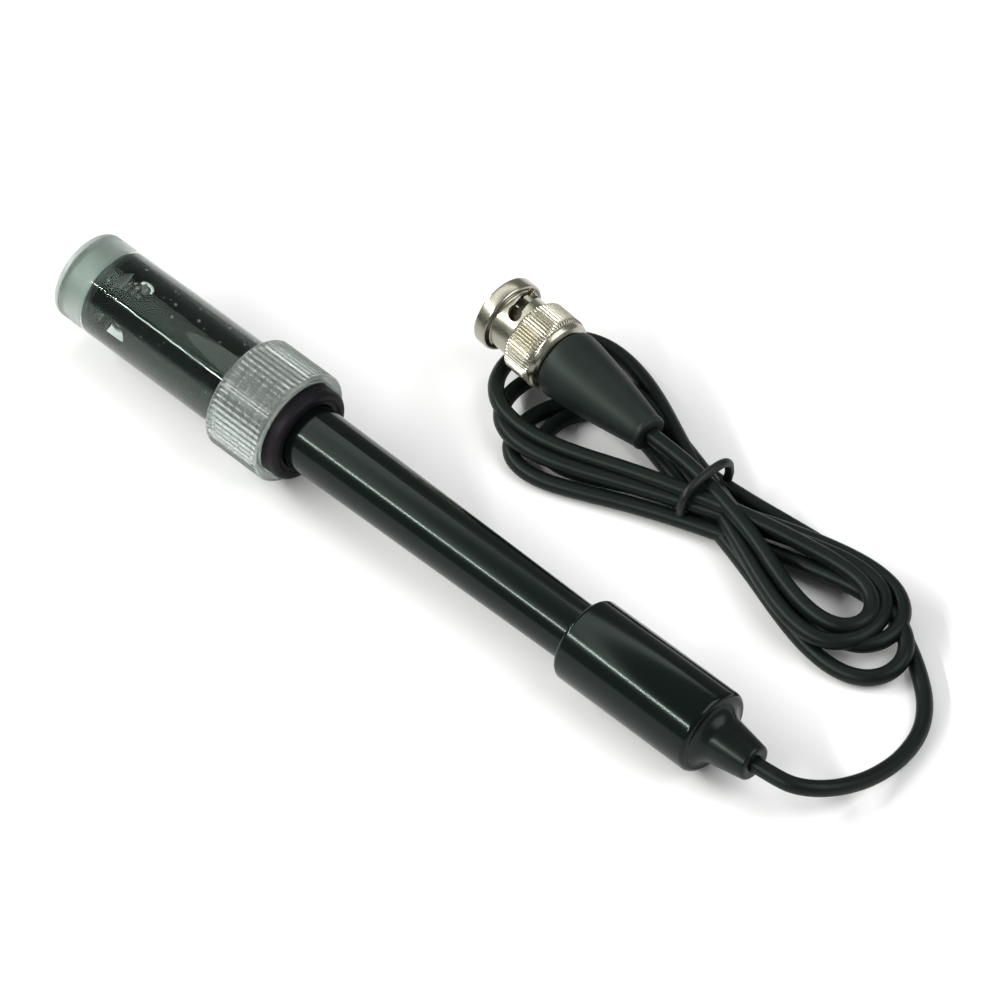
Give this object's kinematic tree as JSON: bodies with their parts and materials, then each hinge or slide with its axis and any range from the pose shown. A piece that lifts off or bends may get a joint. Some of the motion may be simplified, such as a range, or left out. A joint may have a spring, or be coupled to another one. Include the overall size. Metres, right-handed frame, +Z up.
{
  "type": "ph electrode",
  "caption": "Laboratory combination pH electrode with a clear screw-on storage bottle over its tip, a handle cap, a cable tied in a hank and a bayonet signal plug.",
  "frame": {"origin": "on the table, below the middle of the electrode with its storage bottle on", "axes": "+X along the electrode from its sensing tip to its cable, +Y towards the side where the cable lies, +Z up; the electrode lies on its bottle nut and its handle cap"},
  "size_m": [0.1785, 0.0715, 0.0223],
  "materials": {
    "black_plastic": "glossy moulded polycarbonate",
    "electrode_glass": "thin blown glass",
    "sealing_resin": "cast epoxy",
    "porous_ceramic": "porous, unglazed",
    "silver_wire": "silver wire with a dull chloride coat",
    "black_rubber": "smooth moulded rubber",
    "cable_jacket": "smooth soft PVC",
    "nickel_plate": "nickel plated brass, turned and knurled",
    "tinned_copper": "tinned copper",
    "core_insulation": "polyethylene insulation",
    "gold_plate": "gold plated brass",
    "white_fluoroplastic": "waxy white fluoroplastic",
    "silicone": "soft silicone",
    "spring_steel": "spring steel",
    "boot_rubber": "satin moulded PVC",
    "tie_rubber": "thin rubber ring",
    "clear_plastic": "clear moulded plastic",
    "frosted_plastic": "milky clear moulded plastic"
  },
  "bodies": {
    "electrode": {"stem_tube": "black_plastic", "glass_bulb": "electrode_glass", "inner_glass_tube": "electrode_glass", "tip_seal": "sealing_resin", "reference_junction": "porous_ceramic", "measuring_wire": "silver_wire", "reference_wire": "silver_wire", "chamber_bung": "black_rubber", "glass_stopper": "black_rubber", "handle_cap": "black_plastic", "cable_nozzle": "black_rubber", "cable_entry": "cable_jacket", "cable_clamp": "nickel_plate", "core_joint": "tinned_copper", "core_lead": "core_insulation", "shield_joint": "tinned_copper", "shield_lead": "tinned_copper", "plug_body": "nickel_plate", "centre_pin": "gold_plate", "pin_insulator": "white_fluoroplastic", "face_gasket": "silicone", "spring_washer": "spring_steel", "crimp_ferrule": "nickel_plate", "plug_core": "core_insulation", "plug_boot": "boot_rubber", "boot_cable": "cable_jacket", "cord_lead": "cable_jacket", "cord_tail": "cable_jacket", "hank_left": "cable_jacket", "hank_right": "cable_jacket", "cord_tie": "tie_rubber"},
    "bottle": {"bottle_tube": "clear_plastic", "bottle_end_plug": "frosted_plastic"},
    "seal": {"seal_ring": "black_rubber"},
    "nut": {"bottle_nut": "clear_plastic"},
    "thrust": {"thrust_washer": "spring_steel"},
    "coupling": {"coupling_sleeve": "nickel_plate", "retaining_ring": "spring_steel"}
  },
  "joints": [
    {"name": "bottle_slide", "type": "slide", "parent": "electrode", "child": "bottle", "axis": [-0.9995, 0, 0.0301], "range_m": [0, 0.062]},
    {"name": "seal_slide", "type": "slide", "parent": "bottle", "child": "seal", "axis": [0.9995, 0, -0.0301], "range_m": [0, 0.004]},
    {"name": "nut_turn", "type": "hinge", "parent": "seal", "child": "nut", "pos_m": [-0.03542, 0, 0.0112], "axis": [0.9995, 0, -0.0301], "range_deg": [0, 720]},
    {"name": "coupling_slide", "type": "slide", "parent": "electrode", "child": "thrust", "axis": [-0.9956, 0.0664, 0.0664], "range_m": [0, 0.0008], "stiffness_N_per_m": 1000, "springref_m": -0.0003},
    {"name": "coupling_turn", "type": "hinge", "parent": "thrust", "child": "coupling", "pos_m": [-0.022, 0.0459, 0.0116], "axis": [0.9956, -0.0664, -0.0664], "continuous": true}
  ],
  "couplings": [
    {"joint": "nut_turn", "follows": "seal_slide", "rad_per_m": 3141.6}
  ]
}
